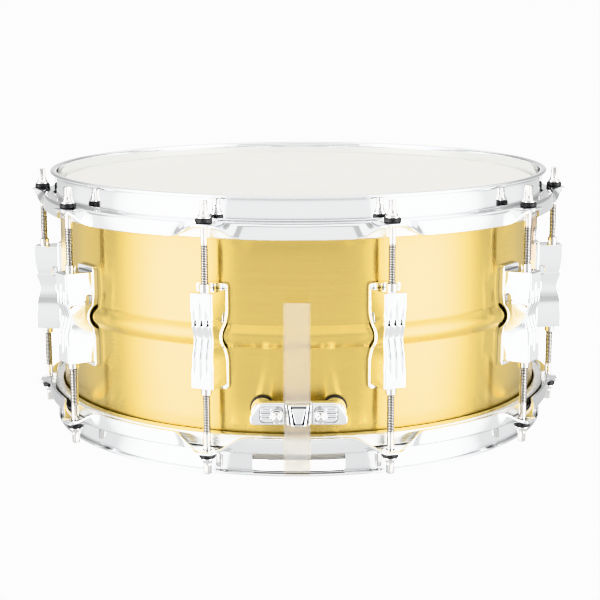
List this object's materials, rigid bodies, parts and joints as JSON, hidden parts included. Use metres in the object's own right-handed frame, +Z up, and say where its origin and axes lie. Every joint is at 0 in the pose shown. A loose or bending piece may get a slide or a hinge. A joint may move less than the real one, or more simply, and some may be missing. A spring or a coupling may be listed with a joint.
{
  "type": "snare drum",
  "caption": "Snare drum with a brass shell, chrome flanged hoops, tension rods in double-ended lugs, a strainer with a throw-off lever, a butt plate and snare wires.",
  "frame": {"origin": "on the drum's axis, in the plane of the snare-side hoop's rim, which the drum rests on", "axes": "+Z up along the drum's axis towards the batter head, -Y towards the butt plate, +Y towards the strainer"},
  "size_m": [0.3964, 0.403, 0.1826],
  "materials": {
    "brushed_brass": "brushed",
    "coated_film": "coated, fine grain",
    "clear_film": "clear film",
    "ring_aluminium": "satin",
    "chrome": "polished",
    "nickel_steel": "polished, slightly dull",
    "black_nylon": "matte",
    "badge_metal": "satin",
    "strap_film": "translucent",
    "snare_steel": "bright wire",
    "plate_brass": "polished"
  },
  "bodies": {
    "root": {"shell": "brushed_brass", "batter_film": "coated_film", "snare_side_film": "clear_film", "lug_01": "chrome", "lug_02": "chrome", "lug_03": "chrome", "lug_04": "chrome", "lug_05": "chrome", "lug_06": "chrome", "lug_07": "chrome", "lug_08": "chrome", "lug_09": "chrome", "lug_10": "chrome", "lug_nuts": "nickel_steel", "lug_screws": "nickel_steel", "lug_screw_washers": "nickel_steel", "badge": "badge_metal", "vent_grommet": "nickel_steel", "butt_base": "chrome", "butt_clamp": "chrome", "butt_clamp_screws": "nickel_steel", "butt_mount_screws": "nickel_steel", "butt_strap": "strap_film", "strainer_base": "chrome", "strainer_mount_screws": "nickel_steel", "strainer_pivot_pin": "nickel_steel", "strainer_strap": "strap_film"},
    "batter_hoop_set": {"batter_hoop": "chrome", "batter_flesh_hoop": "ring_aluminium", "batter_washers": "black_nylon"},
    "snare_side_hoop_set": {"snare_side_hoop": "chrome", "snare_side_flesh_hoop": "ring_aluminium", "snare_side_washers": "black_nylon"},
    "throw_carriage": {"strainer_carriage": "chrome", "strainer_clamp": "chrome", "strainer_clamp_screws": "nickel_steel"},
    "throw_lever": {"strainer_lever": "chrome"},
    "knob": {"tension_knob": "chrome"},
    "snare_set": {"snare_wires": "snare_steel", "snare_end_plates": "plate_brass"},
    "batter_rod_01": {"batter_rod_01": "nickel_steel"},
    "snare_side_rod_01": {"snare_side_rod_01": "nickel_steel"},
    "batter_rod_02": {"batter_rod_02": "nickel_steel"},
    "snare_side_rod_02": {"snare_side_rod_02": "nickel_steel"},
    "batter_rod_03": {"batter_rod_03": "nickel_steel"},
    "snare_side_rod_03": {"snare_side_rod_03": "nickel_steel"},
    "batter_rod_04": {"batter_rod_04": "nickel_steel"},
    "snare_side_rod_04": {"snare_side_rod_04": "nickel_steel"},
    "batter_rod_05": {"batter_rod_05": "nickel_steel"},
    "snare_side_rod_05": {"snare_side_rod_05": "nickel_steel"},
    "batter_rod_06": {"batter_rod_06": "nickel_steel"},
    "snare_side_rod_06": {"snare_side_rod_06": "nickel_steel"},
    "batter_rod_07": {"batter_rod_07": "nickel_steel"},
    "snare_side_rod_07": {"snare_side_rod_07": "nickel_steel"},
    "batter_rod_08": {"batter_rod_08": "nickel_steel"},
    "snare_side_rod_08": {"snare_side_rod_08": "nickel_steel"},
    "batter_rod_09": {"batter_rod_09": "nickel_steel"},
    "snare_side_rod_09": {"snare_side_rod_09": "nickel_steel"},
    "batter_rod_10": {"batter_rod_10": "nickel_steel"},
    "snare_side_rod_10": {"snare_side_rod_10": "nickel_steel"}
  },
  "joints": [
    {"name": "batter_tuning", "type": "slide", "parent": "root", "child": "batter_hoop_set", "axis": [0, 0, 1], "range_m": [-0.001, 0.002]},
    {"name": "snare_side_tuning", "type": "slide", "parent": "root", "child": "snare_side_hoop_set", "axis": [0, 0, 1], "range_m": [-0.002, 0.001]},
    {"name": "throw_off", "type": "hinge", "parent": "root", "child": "throw_lever", "pos_m": [0, 0.187, 0.0673], "axis": [-1, 0, 0], "range_deg": [0, 90]},
    {"name": "carriage_drop", "type": "slide", "parent": "root", "child": "throw_carriage", "axis": [0, 0, -1], "range_m": [0, 0.00501]},
    {"name": "snare_drop", "type": "slide", "parent": "root", "child": "snare_set", "axis": [0, 0, -1], "range_m": [0, 0.00201]},
    {"name": "fine_tension", "type": "hinge", "parent": "throw_carriage", "child": "knob", "pos_m": [0, 0.189, 0.0873], "axis": [0, 0, 1], "range_deg": [-540, 540]},
    {"name": "batter_turn_01", "type": "hinge", "parent": "batter_hoop_set", "child": "batter_rod_01", "pos_m": [0.05887, -0.18118, 0.1673], "axis": [0, 0, 1], "range_deg": [-360, 720]},
    {"name": "snare_side_turn_01", "type": "hinge", "parent": "snare_side_hoop_set", "child": "snare_side_rod_01", "pos_m": [0.05887, -0.18118, 0.0153], "axis": [0, 0, 1], "range_deg": [-720, 360]},
    {"name": "batter_turn_02", "type": "hinge", "parent": "batter_hoop_set", "child": "batter_rod_02", "pos_m": [0.15412, -0.11197, 0.1673], "axis": [0, 0, 1], "range_deg": [-360, 720]},
    {"name": "snare_side_turn_02", "type": "hinge", "parent": "snare_side_hoop_set", "child": "snare_side_rod_02", "pos_m": [0.15412, -0.11197, 0.0153], "axis": [0, 0, 1], "range_deg": [-720, 360]},
    {"name": "batter_turn_03", "type": "hinge", "parent": "batter_hoop_set", "child": "batter_rod_03", "pos_m": [0.1905, 0, 0.1673], "axis": [0, 0, 1], "range_deg": [-360, 720]},
    {"name": "snare_side_turn_03", "type": "hinge", "parent": "snare_side_hoop_set", "child": "snare_side_rod_03", "pos_m": [0.1905, 0, 0.0153], "axis": [0, 0, 1], "range_deg": [-720, 360]},
    {"name": "batter_turn_04", "type": "hinge", "parent": "batter_hoop_set", "child": "batter_rod_04", "pos_m": [0.15412, 0.11197, 0.1673], "axis": [0, 0, 1], "range_deg": [-360, 720]},
    {"name": "snare_side_turn_04", "type": "hinge", "parent": "snare_side_hoop_set", "child": "snare_side_rod_04", "pos_m": [0.15412, 0.11197, 0.0153], "axis": [0, 0, 1], "range_deg": [-720, 360]},
    {"name": "batter_turn_05", "type": "hinge", "parent": "batter_hoop_set", "child": "batter_rod_05", "pos_m": [0.05887, 0.18118, 0.1673], "axis": [0, 0, 1], "range_deg": [-360, 720]},
    {"name": "snare_side_turn_05", "type": "hinge", "parent": "snare_side_hoop_set", "child": "snare_side_rod_05", "pos_m": [0.05887, 0.18118, 0.0153], "axis": [0, 0, 1], "range_deg": [-720, 360]},
    {"name": "batter_turn_06", "type": "hinge", "parent": "batter_hoop_set", "child": "batter_rod_06", "pos_m": [-0.05887, 0.18118, 0.1673], "axis": [0, 0, 1], "range_deg": [-360, 720]},
    {"name": "snare_side_turn_06", "type": "hinge", "parent": "snare_side_hoop_set", "child": "snare_side_rod_06", "pos_m": [-0.05887, 0.18118, 0.0153], "axis": [0, 0, 1], "range_deg": [-720, 360]},
    {"name": "batter_turn_07", "type": "hinge", "parent": "batter_hoop_set", "child": "batter_rod_07", "pos_m": [-0.15412, 0.11197, 0.1673], "axis": [0, 0, 1], "range_deg": [-360, 720]},
    {"name": "snare_side_turn_07", "type": "hinge", "parent": "snare_side_hoop_set", "child": "snare_side_rod_07", "pos_m": [-0.15412, 0.11197, 0.0153], "axis": [0, 0, 1], "range_deg": [-720, 360]},
    {"name": "batter_turn_08", "type": "hinge", "parent": "batter_hoop_set", "child": "batter_rod_08", "pos_m": [-0.1905, 0, 0.1673], "axis": [0, 0, 1], "range_deg": [-360, 720]},
    {"name": "snare_side_turn_08", "type": "hinge", "parent": "snare_side_hoop_set", "child": "snare_side_rod_08", "pos_m": [-0.1905, 0, 0.0153], "axis": [0, 0, 1], "range_deg": [-720, 360]},
    {"name": "batter_turn_09", "type": "hinge", "parent": "batter_hoop_set", "child": "batter_rod_09", "pos_m": [-0.15412, -0.11197, 0.1673], "axis": [0, 0, 1], "range_deg": [-360, 720]},
    {"name": "snare_side_turn_09", "type": "hinge", "parent": "snare_side_hoop_set", "child": "snare_side_rod_09", "pos_m": [-0.15412, -0.11197, 0.0153], "axis": [0, 0, 1], "range_deg": [-720, 360]},
    {"name": "batter_turn_10", "type": "hinge", "parent": "batter_hoop_set", "child": "batter_rod_10", "pos_m": [-0.05887, -0.18118, 0.1673], "axis": [0, 0, 1], "range_deg": [-360, 720]},
    {"name": "snare_side_turn_10", "type": "hinge", "parent": "snare_side_hoop_set", "child": "snare_side_rod_10", "pos_m": [-0.05887, -0.18118, 0.0153], "axis": [0, 0, 1], "range_deg": [-720, 360]}
  ],
  "couplings": [
    {"joint": "carriage_drop", "follows": "throw_off", "m_per_rad": 0.0031831},
    {"joint": "snare_drop", "follows": "throw_off", "m_per_rad": 0.0012732},
    {"joint": "batter_turn_01", "follows": "batter_tuning", "rad_per_m": 5936.9},
    {"joint": "snare_side_turn_01", "follows": "snare_side_tuning", "rad_per_m": 5936.9},
    {"joint": "batter_turn_02", "follows": "batter_tuning", "rad_per_m": 5936.9},
    {"joint": "snare_side_turn_02", "follows": "snare_side_tuning", "rad_per_m": 5936.9},
    {"joint": "batter_turn_03", "follows": "batter_tuning", "rad_per_m": 5936.9},
    {"joint": "snare_side_turn_03", "follows": "snare_side_tuning", "rad_per_m": 5936.9},
    {"joint": "batter_turn_04", "follows": "batter_tuning", "rad_per_m": 5936.9},
    {"joint": "snare_side_turn_04", "follows": "snare_side_tuning", "rad_per_m": 5936.9},
    {"joint": "batter_turn_05", "follows": "batter_tuning", "rad_per_m": 5936.9},
    {"joint": "snare_side_turn_05", "follows": "snare_side_tuning", "rad_per_m": 5936.9},
    {"joint": "batter_turn_06", "follows": "batter_tuning", "rad_per_m": 5936.9},
    {"joint": "snare_side_turn_06", "follows": "snare_side_tuning", "rad_per_m": 5936.9},
    {"joint": "batter_turn_07", "follows": "batter_tuning", "rad_per_m": 5936.9},
    {"joint": "snare_side_turn_07", "follows": "snare_side_tuning", "rad_per_m": 5936.9},
    {"joint": "batter_turn_08", "follows": "batter_tuning", "rad_per_m": 5936.9},
    {"joint": "snare_side_turn_08", "follows": "snare_side_tuning", "rad_per_m": 5936.9},
    {"joint": "batter_turn_09", "follows": "batter_tuning", "rad_per_m": 5936.9},
    {"joint": "snare_side_turn_09", "follows": "snare_side_tuning", "rad_per_m": 5936.9},
    {"joint": "batter_turn_10", "follows": "batter_tuning", "rad_per_m": 5936.9},
    {"joint": "snare_side_turn_10", "follows": "snare_side_tuning", "rad_per_m": 5936.9}
  ]
}
